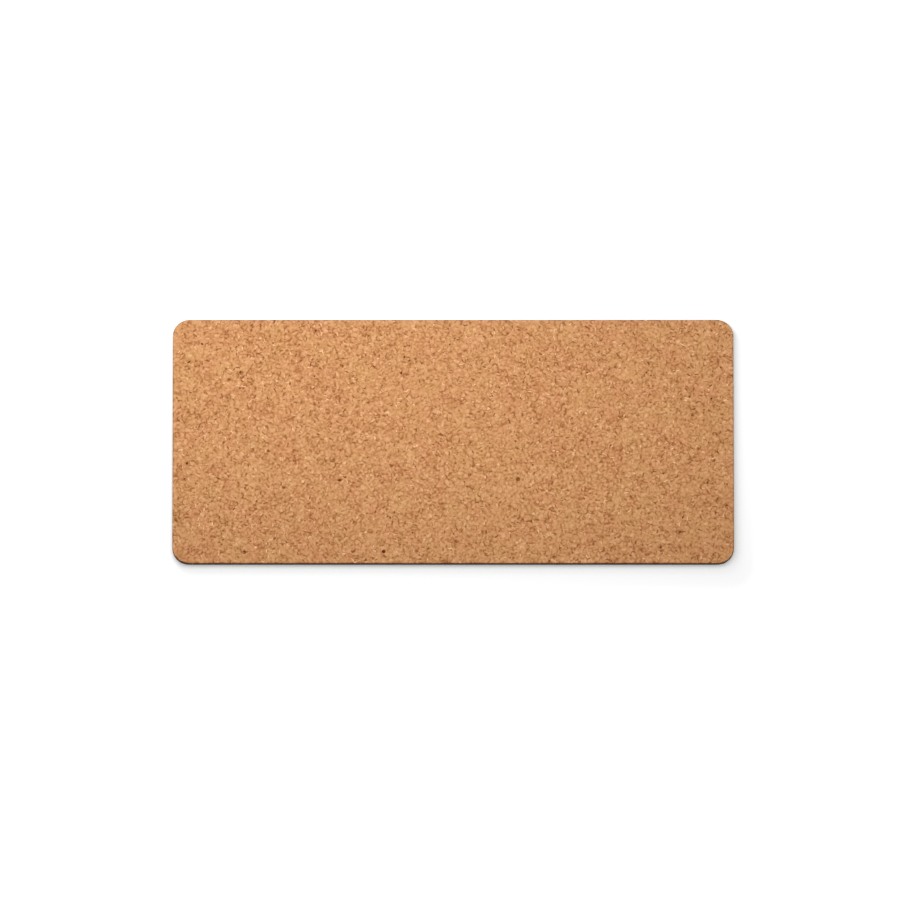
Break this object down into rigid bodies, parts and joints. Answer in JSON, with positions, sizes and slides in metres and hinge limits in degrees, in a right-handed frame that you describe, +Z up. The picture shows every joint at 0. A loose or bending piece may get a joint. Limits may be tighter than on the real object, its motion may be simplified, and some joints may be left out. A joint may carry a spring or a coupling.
{
  "type": "cork desk mat",
  "caption": "Flat rectangular desk mat with rounded corners: an agglomerated cork work surface bonded to a dark non-slip rubber base.",
  "frame": {"origin": "middle of the underside, on the desk", "axes": "+X along the long side, +Y away from the user, +Z up through the cork face"},
  "size_m": [0.7, 0.32, 0.0068],
  "materials": {
    "cork": "matte",
    "adhesive": "matte",
    "base_rubber": "matte"
  },
  "bodies": {
    "root": {"cork_face_sheet": "cork", "bond_film": "adhesive", "rubber_base": "base_rubber"}
  },
  "joints": []
}
